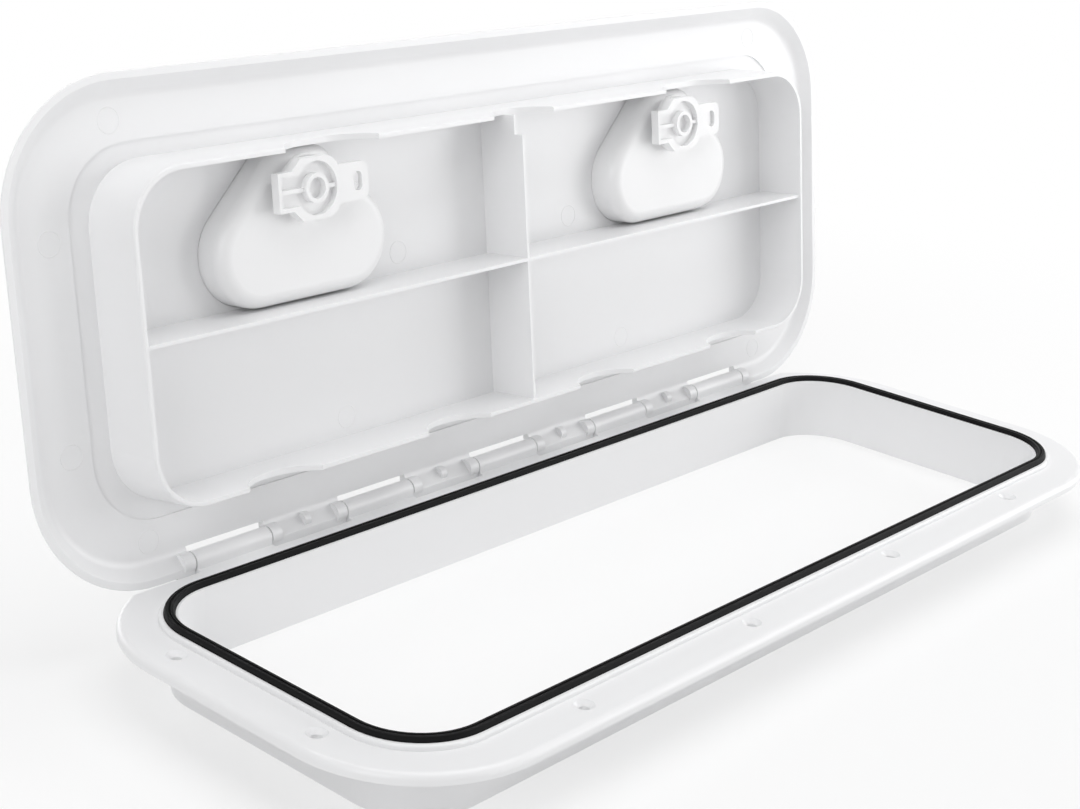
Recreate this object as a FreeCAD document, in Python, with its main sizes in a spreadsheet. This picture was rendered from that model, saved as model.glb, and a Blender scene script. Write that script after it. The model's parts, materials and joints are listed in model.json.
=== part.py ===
"""Deck access hatch: a moulded frame with a coaming and a seal, and a hinged lid with two turn latches.

Millimetres. The deck plane is z = 0 (the underside of the frame's flange), the origin is the centre of the
clear opening, +X runs along the hatch, +Y points to the hinge and +Z is up. The lid and its latches are drawn
shut, in the same frame, and are then turned open about the hinge axis by their placements.
"""
import math
import os

import FreeCAD
import Part
import Sketcher

# The clear opening, and the coaming that lines the cut-out in the deck
opening_length = 527  # along the hatch
opening_width = 172.5  # across the hatch
opening_radius = 31.5  # corner
coaming_wall = 3.5
coaming_depth = 29  # below the deck plane

# The raised rim that holds the seal
rim_height = 7.5  # above the deck
rim_wall = 2.2  # outside the groove
rim_round = 1.4  # outer edge
seal_lip = 1.1  # thin lip between opening and groove
groove_width = 5.6
groove_floor = 3.5  # above the deck

# The flange that is screwed down on the deck
flange_thickness = 5
flange_border = 21.2  # beyond the rim
flange_round = 3.2  # outer edge
flange_radius = 68  # corner
strip_border = 13.2  # beyond the rim on the hinge side

# Countersunk screw holes in the flange
screw_hole = 5.2
screw_head = 9.6
screw_angle = 90
screw_inset = 7.6  # screw line beyond the rim
screw_pitch = 120  # along the front
screw_pair = 91  # across each end

# Seal
gasket_gap = 0.3  # play in the groove, each side
gasket_rise = 2.5  # above the rim
gasket_round = 1.6
gasket_flute = 0.8  # flute along the top
flute_depth = 0.6

# Hinge: five knuckles on the frame, each between two ears of the lid, with a pin of its own
hinge_reach = 5.3  # axis behind the flange's back edge
hinge_height = 8  # axis above the deck
hinge_pitch = 97.5
knuckle_radius = 5
knuckle_length = 46.4
knuckle_foot = 2  # underside of the knuckle's arm above the deck
knuckle_tail = 3  # the arm reaches this far into the flange
knuckle_play = 0.8  # between knuckle and ear
pin_radius = 2
pin_play = 0.05  # running play of the ears on the pin
pin_short = 0.3  # pin clear of the closed end of its hole
ear_thickness = 6.2
ear_radius = 5
ear_cap = 1.6  # closed end of the ear's hole
ear_bury = 0.5  # ears and gussets reach this far into the lid's panel
lid_open_angle = 97.8

# Lid
seal_gap = 0.5  # lid above the seal when shut
lid_panel = 3.6
lid_floor_step = 1  # floor inside the seal line, above the land around it
step_beyond = 1.2  # the step lies this far outside the groove's inner edge
skirt_depth = 6  # edge of the lid below its underside
skirt_run = 11  # the skirt leans out by this much over its height
skirt_wall = 4.5  # foot of the skirt
skirt_foot_round = 0.5
land_round = 6  # between skirt and underside
lid_round = 8  # between skirt and top
lid_end_overhang = 10.5  # beyond the flange at each end
lid_front_overhang = 4.8  # beyond the flange at the front
lid_back_reach = 6.05  # beyond the hinge axis
lid_radius = 63.4  # corner
slot_clear = 2.2  # slots of the lid ahead of the knuckles
rail_beyond = 4  # upright back of the lid beyond the outer ears
rail_round = 4

# Ring wall and ribs under the lid
ring_end_gap = 8.5  # clear of the coaming at each end
ring_side_gap = 5.75  # clear of the coaming at front and back
ring_radius = 30
ring_wall = 2.4
ring_draft = 1.4  # leans in over its depth
ring_depth = 30.5
ring_round = 1  # edge
rib_thickness = 2.2  # at the panel
rib_edge = 1.7  # at the free edge
rib_drop = 1.5  # ribs below the ring wall's edge
scallop_radius = 25
scallop_depth = 14
scallop_flat = 1.2  # straight piece at the bottom of a scallop
scallop_pitch = 119  # along the hinge side
scallop_swing = 19  # the latch scallops end this far behind the tongue's tip
gusset_radius = 3.6
gusset_thickness = 4
gusset_inset = 2  # centre of the gussets ahead of the hinge axis
gusset_rise = 0.5  # and above it

# Latches
latch_spacing = 284
cup_front = 19.1  # flat front of the cup ahead of the latch axis
cup_shoulder = 14  # front corners
cup_shoulder_spread = 19.8  # between the front corners' centres
cup_corner = 26  # back corners
cup_spread = 56  # between the back corners' centres
cup_wall_gap = 0.6  # clear of the ring wall
cup_rib_gap = 0.9  # clear of the long rib
cup_wall = 2.2
cup_face = -5.5  # inner face above the deck
cup_round = 7
cup_flange = 3  # rim of the cup on the lid
cup_flange_depth = 1.2
cup_play = 0.25  # in the lid
turret_radius = 16  # round step on the cup's inner face
turret_height = 3
shaft_radius = 6
shaft_play = 0.06  # running play in the cup
cam_gap = 1  # clear of the round step
cam_plate = 1.8
cam_height = 5
cam_half = 15  # half across
cam_flat = 9.5  # half of each flat side
cam_round = 8  # corners on the tongue's side
cam_wall = 2
nose_reach = 23.7  # blunt end from the axis
nose_half = 9.5
tube_radius = 7.2
tube_bore = 5.1
tube_rise = 0.6  # tube beyond the cam's edge
tongue_beyond = 1.25  # beyond the coaming when latched
tongue_width = 18.6
tongue_thickness = 3
tongue_round = 4
tongue_drop = 1.5  # below the cam's upper side
tongue_hole_length = 9.5
tongue_hole_width = 5.6
tongue_hole_reach = 27  # from the axis
lever_hub = 12
lever_reach = 40  # round end from the axis
lever_end = 8  # round end
lever_thickness = 7
lever_drop = 0.8  # below the lid's top
lever_round = 2
lever_gap = 1  # hub above the cup's floor
keeper_width = 26  # slot in the coaming for a tongue
keeper_play = 2  # above and below the tongue

# Cuts run this far past the surface they break through
overcut = 2

driving = {name: value for name, value in globals().items() if isinstance(value, (int, float))}

derived = {
    "coaming_length": "opening_length + 2 * coaming_wall",
    "coaming_width": "opening_width + 2 * coaming_wall",
    "coaming_radius": "opening_radius + coaming_wall",
    "groove_in_length": "opening_length + 2 * seal_lip",
    "groove_in_width": "opening_width + 2 * seal_lip",
    "groove_in_radius": "opening_radius + seal_lip",
    "groove_out_length": "groove_in_length + 2 * groove_width",
    "groove_out_width": "groove_in_width + 2 * groove_width",
    "groove_out_radius": "groove_in_radius + groove_width",
    "rim_length": "groove_out_length + 2 * rim_wall",
    "rim_width": "groove_out_width + 2 * rim_wall",
    "rim_radius": "groove_out_radius + rim_wall",
    "flange_length": "rim_length + 2 * flange_border",
    "flange_width": "rim_width + 2 * flange_border",
    "strip_edge": "rim_width / 2 + strip_border",
    "screw_front": "rim_width / 2 + screw_inset",
    "screw_end": "rim_length / 2 + screw_inset",
    "gasket_top": "rim_height + gasket_rise",
    "gasket_in_length": "groove_in_length + 2 * gasket_gap",
    "gasket_in_width": "groove_in_width + 2 * gasket_gap",
    "gasket_in_radius": "groove_in_radius + gasket_gap",
    "gasket_out_length": "groove_out_length - 2 * gasket_gap",
    "gasket_out_width": "groove_out_width - 2 * gasket_gap",
    "gasket_out_radius": "groove_out_radius - gasket_gap",
    "flute_in_length": "(groove_in_length + groove_out_length) / 2 - gasket_flute",
    "flute_in_width": "(groove_in_width + groove_out_width) / 2 - gasket_flute",
    "flute_in_radius": "(groove_in_radius + groove_out_radius) / 2 - gasket_flute / 2",
    "flute_out_length": "flute_in_length + 2 * gasket_flute",
    "flute_out_width": "flute_in_width + 2 * gasket_flute",
    "flute_out_radius": "flute_in_radius + gasket_flute",
    "hinge_axis": "strip_edge + hinge_reach",
    "knuckle_root": "strip_edge - knuckle_tail",
    "knuckle_front": "hinge_axis - knuckle_radius",
    "hinge_slot": "knuckle_length + 2 * knuckle_play",
    "slot_front": "knuckle_front - slot_clear",
    "ear_hole": "ear_thickness - ear_cap",
    "lid_under": "gasket_top + seal_gap",
    "lid_floor": "lid_under + lid_floor_step",
    "lid_top": "lid_under + lid_panel",
    "lid_root": "(lid_floor + lid_top) / 2",
    "skirt_foot": "lid_under - skirt_depth",
    "skirt_in": "skirt_wall + skirt_run * skirt_depth / (lid_top - skirt_foot)",
    "ear_root": "lid_under + ear_bury",
    "gusset_centre": "hinge_axis - gusset_inset",
    "gusset_height": "hinge_height + gusset_rise",
    "lid_front": "flange_width / 2 + lid_front_overhang",
    "lid_back": "hinge_axis + lid_back_reach",
    "lid_length": "flange_length + 2 * lid_end_overhang",
    "lid_width": "lid_front + lid_back",
    "lid_middle": "(lid_back - lid_front) / 2",
    "lid_top_length": "lid_length - 2 * skirt_run",
    "lid_top_width": "lid_width - 2 * skirt_run",
    "lid_top_radius": "lid_radius - skirt_run",
    "skirt_in_length": "lid_length - 2 * skirt_wall",
    "skirt_in_width": "lid_width - 2 * skirt_wall",
    "skirt_in_radius": "lid_radius - skirt_wall",
    "land_length": "lid_length - 2 * skirt_in",
    "land_width": "lid_width - 2 * skirt_in",
    "land_radius": "lid_radius - skirt_in",
    "rail_length": "4 * hinge_pitch + hinge_slot + 2 * (ear_thickness + rail_beyond)",
    "rail_root": "lid_back - skirt_wall / 2",
    "rail_top": "rail_root - skirt_run",
    "step_length": "groove_in_length + 2 * step_beyond",
    "step_width": "groove_in_width + 2 * step_beyond",
    "step_radius": "groove_in_radius + step_beyond",
    "ring_foot": "lid_under - ring_depth",
    "ring_length": "opening_length - 2 * ring_end_gap",
    "ring_width": "opening_width - 2 * ring_side_gap",
    "ring_foot_length": "ring_length - 2 * ring_draft",
    "ring_foot_width": "ring_width - 2 * ring_draft",
    "ring_foot_radius": "ring_radius - ring_draft",
    "ring_in_length": "ring_foot_length - 2 * ring_wall",
    "ring_in_width": "ring_foot_width - 2 * ring_wall",
    "ring_in_radius": "ring_foot_radius - ring_wall",
    "rib_foot": "ring_foot + rib_drop",
    "scallop_centre": "ring_foot + scallop_depth - scallop_radius",
    "scallop_step": "ring_foot + scallop_depth / 2",
    "latch_front": "ring_in_width / 2 - cup_wall_gap - cup_front",
    "cup_shoulder_back": "cup_shoulder - cup_front",
    "cup_reach": "latch_front - rib_thickness / 2 - cup_rib_gap - cup_corner",
    "cup_floor": "cup_face + cup_wall",
    "cup_floor_round": "cup_round - cup_wall",
    "turret_face": "cup_face - turret_height",
    "cam_base": "turret_face - cam_gap",
    "cam_foot": "cam_base - cam_height",
    "tube_foot": "cam_foot - tube_rise",
    "tongue_reach": "coaming_width / 2 + tongue_beyond - latch_front",
    "tongue_top": "cam_base - tongue_drop",
    "latch_scallop": "tongue_reach - scallop_swing",
    "lever_top": "lid_top - lever_drop",
    "lever_hub_foot": "cup_floor + lever_gap",
    "keeper_top": "tongue_top + keeper_play",
    "keeper_low": "tongue_top - tongue_thickness - keeper_play",
}

doc = FreeCAD.newDocument("deck_access_hatch")
sizes = doc.addObject("Spreadsheet::Sheet", "sizes")
rows = [(name, str(value)) for name, value in driving.items()]
rows += [(name, "=" + formula) for name, formula in derived.items()]
for number, (name, content) in enumerate(rows, 1):
    sizes.set("A%d" % number, name)
    sizes.set("B%d" % number, content)
    sizes.setAlias("B%d" % number, name)
doc.recompute()


def num(name):
    """Number in the size sheet; a leading minus turns its sign."""
    if name.startswith("-"):
        return -num(name[1:])
    return float(sizes.get(name))


def ref(name):
    """The same name as an expression of the document."""
    if name.startswith("-"):
        return "-sizes." + name[1:]
    return "sizes." + name


def new_body(label):
    body = doc.addObject("PartDesign::Body", label)
    body.Label = label
    return body


def new_sketch(body, name, role, offset=None):
    """Sketch on one of the body's own planes, moved along the plane's normal by a named size."""
    sketch = body.newObject("Sketcher::SketchObject", name)
    plane = [f for f in body.Origin.OriginFeatures if f.Role == role][0]
    sketch.AttachmentSupport = [(plane, "")]
    sketch.MapMode = "FlatFace"
    if offset:
        sketch.setExpression(".AttachmentOffset.Base.z", offset)
    return sketch


def bind(sketch, constraint, name, expression):
    index = sketch.addConstraint(constraint)
    sketch.renameConstraint(index, name)
    sketch.setExpression("Constraints." + name, expression)


def rounded_loop(sketch, tag, length, width, radius, middle=None):
    """Rounded rectangle: four sides and four equal tangent corners, centred on the Y axis."""
    half_x = num(length) / 2
    half_y = num(width) / 2
    r = num(radius)
    mid = num(middle) if middle else 0.0
    vec = FreeCAD.Vector
    sides = [
        (vec(r - half_x, mid + half_y, 0), vec(half_x - r, mid + half_y, 0)),
        (vec(half_x, mid + half_y - r, 0), vec(half_x, mid + r - half_y, 0)),
        (vec(half_x - r, mid - half_y, 0), vec(r - half_x, mid - half_y, 0)),
        (vec(-half_x, mid + r - half_y, 0), vec(-half_x, mid + half_y - r, 0)),
    ]
    lines = [sketch.addGeometry(Part.LineSegment(a, b), False) for a, b in sides]
    corners = []
    for sx, sy, turn in ((1, 1, 0), (1, -1, 3), (-1, -1, 2), (-1, 1, 1)):
        centre = vec(sx * (half_x - r), mid + sy * (half_y - r), 0)
        circle = Part.Circle(centre, vec(0, 0, 1), r)
        arc = Part.ArcOfCircle(circle, turn * math.pi / 2, (turn + 1) * math.pi / 2)
        corners.append(sketch.addGeometry(arc, False))
    top, right, bottom, left = lines
    for line, line_end, arc, arc_end in (
        (top, 2, 0, 2), (right, 1, 0, 1), (right, 2, 1, 2), (bottom, 1, 1, 1),
        (bottom, 2, 2, 2), (left, 1, 2, 1), (left, 2, 3, 2), (top, 1, 3, 1),
    ):
        sketch.addConstraint(Sketcher.Constraint("Tangent", line, line_end, corners[arc], arc_end))
    for line in (top, bottom):
        sketch.addConstraint(Sketcher.Constraint("Horizontal", line))
    for line in (left, right):
        sketch.addConstraint(Sketcher.Constraint("Vertical", line))
    for arc in corners[1:]:
        sketch.addConstraint(Sketcher.Constraint("Equal", corners[0], arc))
    bind(sketch, Sketcher.Constraint("Radius", corners[0], r), tag + "_corner", ref(radius))
    bind(sketch, Sketcher.Constraint("DistanceX", left, 1, right, 1, 2 * half_x), tag + "_along", ref(length))
    bind(sketch, Sketcher.Constraint("DistanceY", bottom, 1, top, 1, 2 * half_y), tag + "_across", ref(width))
    end = ref(length) + " / 2"
    bind(sketch, Sketcher.Constraint("DistanceX", -1, 1, right, 1, half_x), tag + "_right", end)
    back = ref(width) + " / 2" + (" + " + ref(middle) if middle else "")
    bind(sketch, Sketcher.Constraint("DistanceY", -1, 1, top, 1, mid + half_y), tag + "_back", back)


def circle_at(sketch, tag, radius, x, y):
    """Circle with a named radius; x and y are (number, expression) pairs from the sketch's origin."""
    centre = FreeCAD.Vector(x[0], y[0], 0)
    index = sketch.addGeometry(Part.Circle(centre, FreeCAD.Vector(0, 0, 1), radius[0]), False)
    bind(sketch, Sketcher.Constraint("Radius", index, radius[0]), tag + "_r", radius[1])
    bind(sketch, Sketcher.Constraint("DistanceX", -1, 1, index, 3, x[0]), tag + "_x", x[1])
    bind(sketch, Sketcher.Constraint("DistanceY", -1, 1, index, 3, y[0]), tag + "_y", y[1])
    return index


def polygon(sketch, tag, corners):
    """Closed polygon; each corner is a pair of (number, expression) pairs from the sketch's origin."""
    points = [FreeCAD.Vector(x[0], y[0], 0) for x, y in corners]
    count = len(points)
    lines = []
    for i in range(count):
        lines.append(sketch.addGeometry(Part.LineSegment(points[i], points[(i + 1) % count]), False))
    for i in range(count):
        sketch.addConstraint(Sketcher.Constraint("Coincident", lines[i], 2, lines[(i + 1) % count], 1))
    for i, (x, y) in enumerate(corners):
        bind(sketch, Sketcher.Constraint("DistanceX", -1, 1, lines[i], 1, x[0]), "%s_x%d" % (tag, i), x[1])
        bind(sketch, Sketcher.Constraint("DistanceY", -1, 1, lines[i], 1, y[0]), "%s_y%d" % (tag, i), y[1])


def at(name, plus=0.0, scale=1.0):
    """(number, expression) pair: a named size times a factor plus a fixed step."""
    return (num(name) * scale + plus, "%s * %r + %r" % (ref(name), scale, plus))


def both(first, second, sign=1):
    """(number, expression) pair: the sum or difference of two pairs."""
    mark = "+" if sign > 0 else "-"
    return (first[0] + sign * second[0], "(%s) %s (%s)" % (first[1], mark, second[1]))


def pad(body, name, sketch, length, reverse=False):
    feature = body.newObject("PartDesign::Pad", name)
    feature.Profile = sketch
    feature.Reversed = reverse
    feature.setExpression("Length", length)
    doc.recompute()
    return feature


def pocket(body, name, sketch, length=None, reverse=False):
    """Cut to a named depth, or through everything where none is given."""
    before = body.Tip.Shape.Volume
    feature = body.newObject("PartDesign::Pocket", name)
    feature.Profile = sketch
    feature.Reversed = reverse
    if length:
        feature.setExpression("Length", length)
    else:
        feature.Type = 1
    doc.recompute()
    if not feature.Shape.Volume < before - 1e-6:
        raise RuntimeError(name + " cuts nothing")
    return feature


def loft(body, name, kind, low, high):
    feature = body.newObject("PartDesign::" + kind, name)
    feature.Profile = low
    feature.Sections = [high]
    doc.recompute()
    return feature


def fillet(body, name, radius, wanted):
    """Rounds the edges of the body's last shape that the test picks."""
    base = body.Tip
    names = ["Edge%d" % (i + 1) for i, e in enumerate(base.Shape.Edges) if wanted(e)]
    if not names:
        raise RuntimeError(name + " finds no edge")
    feature = body.newObject("PartDesign::Fillet", name)
    feature.Base = (base, names)
    feature.setExpression("Radius", ref(radius))
    doc.recompute()
    return feature


def level(edge, height):
    """The whole edge lies at one height."""
    box = edge.BoundBox
    return abs(box.ZMin - height) < 1e-4 and abs(box.ZMax - height) < 1e-4


def repeat(body, name, features, count, pitch, role="X_Axis"):
    """The features again along one of the body's own axes, count times in all."""
    axis = [f for f in body.Origin.OriginFeatures if f.Role == role][0]
    feature = body.newObject("PartDesign::LinearPattern", name)
    feature.Originals = features
    feature.Direction = (axis, [""])
    feature.Occurrences = count
    feature.Mode = "Spacing"
    feature.setExpression("Offset", pitch)
    doc.recompute()
    body.Tip = feature
    return feature


# Frame
frame = new_body("frame")
flange_sketch = new_sketch(frame, "flange_outline", "XY_Plane")
rounded_loop(flange_sketch, "flange", "flange_length", "flange_width", "flange_radius")
pad(frame, "flange", flange_sketch, "sizes.flange_thickness")
strip_sketch = new_sketch(frame, "hinge_side_cut", "XY_Plane", "sizes.flange_thickness")
polygon(strip_sketch, "strip", [
    (at("flange_length", 0, -1), at("strip_edge")),
    (at("flange_length", 0, 1), at("strip_edge")),
    (at("flange_length", 0, 1), at("flange_width")),
    (at("flange_length", 0, -1), at("flange_width")),
])
pocket(frame, "hinge_side", strip_sketch)
fillet(frame, "flange_rounding", "flange_round", lambda e: level(e, num("flange_thickness")))

rim_sketch = new_sketch(frame, "rim_outline", "XY_Plane")
rounded_loop(rim_sketch, "rim", "rim_length", "rim_width", "rim_radius")
pad(frame, "rim", rim_sketch, "sizes.rim_height")
fillet(frame, "rim_rounding", "rim_round", lambda e: level(e, num("rim_height")))

coaming_sketch = new_sketch(frame, "coaming_outline", "XY_Plane")
rounded_loop(coaming_sketch, "coaming", "coaming_length", "coaming_width", "coaming_radius")
pad(frame, "coaming", coaming_sketch, "sizes.coaming_depth", True)

opening_sketch = new_sketch(frame, "opening_outline", "XY_Plane", "sizes.rim_height")
rounded_loop(opening_sketch, "opening", "opening_length", "opening_width", "opening_radius")
pocket(frame, "opening", opening_sketch)

groove_sketch = new_sketch(frame, "groove_outline", "XY_Plane", "sizes.rim_height")
rounded_loop(groove_sketch, "inner", "groove_in_length", "groove_in_width", "groove_in_radius")
rounded_loop(groove_sketch, "outer", "groove_out_length", "groove_out_width", "groove_out_radius")
pocket(frame, "seal_groove", groove_sketch, "sizes.rim_height - sizes.groove_floor")

hole_sketch = new_sketch(frame, "screw_places", "XY_Plane", "sizes.flange_thickness")
screw_radius = at("screw_hole", 0, 0.5)
for i, step in enumerate((-1.5, -0.5, 0.5, 1.5)):
    circle_at(hole_sketch, "front%d" % i, screw_radius, at("screw_pitch", 0, step), at("-screw_front"))
for i, (side, end) in enumerate(((-1, -1), (-1, 1), (1, -1), (1, 1))):
    circle_at(hole_sketch, "end%d" % i, screw_radius, at("screw_end", 0, side), at("screw_pair", 0, end / 2))
doc.recompute()
holes = frame.newObject("PartDesign::Hole", "screw_holes")
holes.Profile = hole_sketch
holes.DepthType = "ThroughAll"
holes.setExpression("Diameter", "sizes.screw_hole")
holes.HoleCutType = "Countersink"
holes.setExpression("HoleCutDiameter", "sizes.screw_head")
holes.setExpression("HoleCutCountersinkAngle", "sizes.screw_angle")
doc.recompute()

knuckle_start = "-2 * sizes.hinge_pitch - sizes.knuckle_length / 2"
arm_sketch = new_sketch(frame, "knuckle_arm_profile", "YZ_Plane", knuckle_start)
polygon(arm_sketch, "arm", [
    (at("knuckle_root"), at("knuckle_foot")),
    (at("hinge_axis"), at("knuckle_foot")),
    (at("hinge_axis"), at("hinge_height")),
    (at("knuckle_front"), at("hinge_height")),
    (at("knuckle_front"), at("flange_thickness")),
    (at("knuckle_root"), at("flange_thickness")),
])
arm = pad(frame, "knuckle_arm", arm_sketch, "sizes.knuckle_length")
knuckle_sketch = new_sketch(frame, "knuckle_profile", "YZ_Plane", knuckle_start)
circle_at(knuckle_sketch, "knuckle", at("knuckle_radius"), at("hinge_axis"), at("hinge_height"))
knuckle = pad(frame, "knuckle", knuckle_sketch, "sizes.knuckle_length")
repeat(frame, "knuckles", [arm, knuckle], 5, "sizes.hinge_pitch")
bore_sketch = new_sketch(frame, "pin_bore_profile", "YZ_Plane", "sizes.flange_length")
circle_at(bore_sketch, "bore", at("pin_radius"), at("hinge_axis"), at("hinge_height"))
pocket(frame, "pin_bores", bore_sketch)


def keeper(side, name):
    """Slot through the front wall of the coaming, where the tongue of a latch reaches when it is turned."""
    sketch = new_sketch(frame, name + "_outline", "XZ_Plane", "sizes.opening_width / 2 - sizes.overcut")
    middle = at("latch_spacing", 0, side / 2)
    half = at("keeper_width", 0, 0.5)
    left = both(middle, half, -1)
    right = both(middle, half)
    polygon(sketch, "slot", [
        (left, at("keeper_low")), (right, at("keeper_low")),
        (right, at("keeper_top")), (left, at("keeper_top")),
    ])
    pocket(frame, name, sketch, "sizes.coaming_wall + 2 * sizes.overcut", True)


keeper(-1, "keeper_slot_left")
keeper(1, "keeper_slot_right")

# Seal
gasket = new_body("gasket")
gasket_sketch = new_sketch(gasket, "gasket_outline", "XY_Plane", "sizes.groove_floor")
rounded_loop(gasket_sketch, "inner", "gasket_in_length", "gasket_in_width", "gasket_in_radius")
rounded_loop(gasket_sketch, "outer", "gasket_out_length", "gasket_out_width", "gasket_out_radius")
pad(gasket, "gasket_ring", gasket_sketch, "sizes.gasket_top - sizes.groove_floor")
fillet(gasket, "gasket_rounding", "gasket_round", lambda e: level(e, num("gasket_top")))
flute_sketch = new_sketch(gasket, "flute_outline", "XY_Plane", "sizes.gasket_top")
rounded_loop(flute_sketch, "inner", "flute_in_length", "flute_in_width", "flute_in_radius")
rounded_loop(flute_sketch, "outer", "flute_out_length", "flute_out_width", "flute_out_radius")
pocket(gasket, "flute", flute_sketch, "sizes.flute_depth")


def place_on_lid(body, x="0 mm", y="0 mm"):
    """Turns a body drawn on the shut lid open about the hinge axis; x and y are its own origin's place there."""
    away = "(%s - sizes.hinge_axis * 1 mm)" % y
    body.setExpression(".Placement.Rotation.Axis.x", "-1")
    body.setExpression(".Placement.Rotation.Axis.y", "0")
    body.setExpression(".Placement.Rotation.Axis.z", "0")
    body.setExpression(".Placement.Rotation.Angle", "sizes.lid_open_angle * 1 deg")
    body.setExpression(".Placement.Base.x", x)
    cos = "cos(sizes.lid_open_angle * 1 deg)"
    sin = "sin(sizes.lid_open_angle * 1 deg)"
    height = "sizes.hinge_height * 1 mm"
    body.setExpression(
        ".Placement.Base.y", "sizes.hinge_axis * 1 mm + %s * %s - %s * %s" % (away, cos, height, sin))
    body.setExpression(".Placement.Base.z", "%s - %s * %s - %s * %s" % (height, away, sin, height, cos))
    doc.recompute()


# Lid
lid = new_body("lid")
lid_sketch = new_sketch(lid, "lid_outline", "XY_Plane", "sizes.skirt_foot")
rounded_loop(lid_sketch, "lid", "lid_length", "lid_width", "lid_radius", "lid_middle")
top_sketch = new_sketch(lid, "lid_top_outline", "XY_Plane", "sizes.lid_top")
rounded_loop(top_sketch, "top", "lid_top_length", "lid_top_width", "lid_top_radius", "lid_middle")
loft(lid, "lid_block", "AdditiveLoft", lid_sketch, top_sketch)
skirt_sketch = new_sketch(lid, "skirt_inside", "XY_Plane", "sizes.skirt_foot")
rounded_loop(skirt_sketch, "skirt", "skirt_in_length", "skirt_in_width", "skirt_in_radius", "lid_middle")
land_sketch = new_sketch(lid, "land_outline", "XY_Plane", "sizes.lid_under")
rounded_loop(land_sketch, "land", "land_length", "land_width", "land_radius", "lid_middle")
loft(lid, "lid_underside", "SubtractiveLoft", skirt_sketch, land_sketch)
fillet(lid, "lid_rounding", "lid_round", lambda e: level(e, num("lid_top")))
fillet(lid, "land_rounding", "land_round", lambda e: level(e, num("lid_under")))
fillet(lid, "skirt_rounding", "skirt_foot_round", lambda e: level(e, num("skirt_foot")))
rail_sketch = new_sketch(lid, "rail_profile", "YZ_Plane", "-sizes.rail_length / 2")
polygon(rail_sketch, "rail", [
    (at("rail_root"), at("skirt_foot")), (at("lid_back"), at("skirt_foot")),
    (at("lid_back"), at("lid_top")), (at("rail_top"), at("lid_top")),
])
pad(lid, "hinge_rail", rail_sketch, "sizes.rail_length")


def rail_edge(edge):
    """The rail's upper back edge."""
    return level(edge, num("lid_top")) and edge.BoundBox.YMin > num("lid_back") - 1e-4


fillet(lid, "rail_rounding", "rail_round", rail_edge)
floor_sketch = new_sketch(lid, "floor_outline", "XY_Plane", "sizes.lid_floor")
rounded_loop(floor_sketch, "floor", "step_length", "step_width", "step_radius")
pocket(lid, "lid_floor", floor_sketch, "sizes.lid_floor_step")

ring_low = new_sketch(lid, "ring_root", "XY_Plane", "sizes.lid_root")
rounded_loop(ring_low, "ring", "ring_length", "ring_width", "ring_radius")
ring_high = new_sketch(lid, "ring_edge", "XY_Plane", "sizes.ring_foot")
rounded_loop(ring_high, "ring", "ring_foot_length", "ring_foot_width", "ring_foot_radius")
loft(lid, "ring_block", "AdditiveLoft", ring_low, ring_high)
fillet(lid, "ring_rounding", "ring_round", lambda e: level(e, num("ring_foot")))
ring_in = new_sketch(lid, "ring_inside", "XY_Plane", "sizes.ring_foot")
rounded_loop(ring_in, "ring", "ring_in_length", "ring_in_width", "ring_in_radius")
pocket(lid, "ring_hollow", ring_in, "sizes.lid_floor - sizes.ring_foot", True)


def scallop(name, centre, stretch, back):
    """Round-bottomed cut in the ring wall on the front or the hinge side, stretched along X by a pair."""
    start = "-sizes.ring_width / 2 - sizes.overcut" if back else "sizes.ring_width / 2 + sizes.overcut"
    sketch = new_sketch(lid, name + "_outline", "XZ_Plane", start)
    left = centre
    right = both(centre, stretch)
    r = num("scallop_radius")
    low = num("scallop_centre")
    vec = FreeCAD.Vector
    up = vec(0, 0, 1)
    left_end = Part.ArcOfCircle(Part.Circle(vec(left[0], low, 0), up, r), math.pi / 2, math.pi)
    right_end = Part.ArcOfCircle(Part.Circle(vec(right[0], low, 0), up, r), 0, math.pi / 2)
    one = sketch.addGeometry(left_end, False)
    two = sketch.addGeometry(right_end, False)
    lines = [
        sketch.addGeometry(Part.LineSegment(vec(left[0], low + r, 0), vec(right[0], low + r, 0)), False),
        sketch.addGeometry(Part.LineSegment(vec(left[0] - r, low, 0), vec(right[0] + r, low, 0)), False),
    ]
    sketch.addConstraint(Sketcher.Constraint("Tangent", lines[0], 1, one, 1))
    sketch.addConstraint(Sketcher.Constraint("Tangent", lines[0], 2, two, 2))
    sketch.addConstraint(Sketcher.Constraint("Coincident", lines[1], 1, one, 2))
    sketch.addConstraint(Sketcher.Constraint("Coincident", lines[1], 2, two, 1))
    sketch.addConstraint(Sketcher.Constraint("Horizontal", lines[0]))
    sketch.addConstraint(Sketcher.Constraint("Equal", one, two))
    sketch.addConstraint(Sketcher.Constraint("PointOnObject", one, 3, lines[1]))
    sketch.addConstraint(Sketcher.Constraint("Horizontal", lines[1]))
    bind(sketch, Sketcher.Constraint("Radius", one, r), "round", ref("scallop_radius"))
    bind(sketch, Sketcher.Constraint("DistanceX", -1, 1, one, 3, left[0]), "left", left[1])
    bind(sketch, Sketcher.Constraint("DistanceX", one, 3, two, 3, stretch[0]), "stretch", stretch[1])
    bind(sketch, Sketcher.Constraint("DistanceY", -1, 1, one, 3, low), "height", ref("scallop_centre"))
    return sketch


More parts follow.
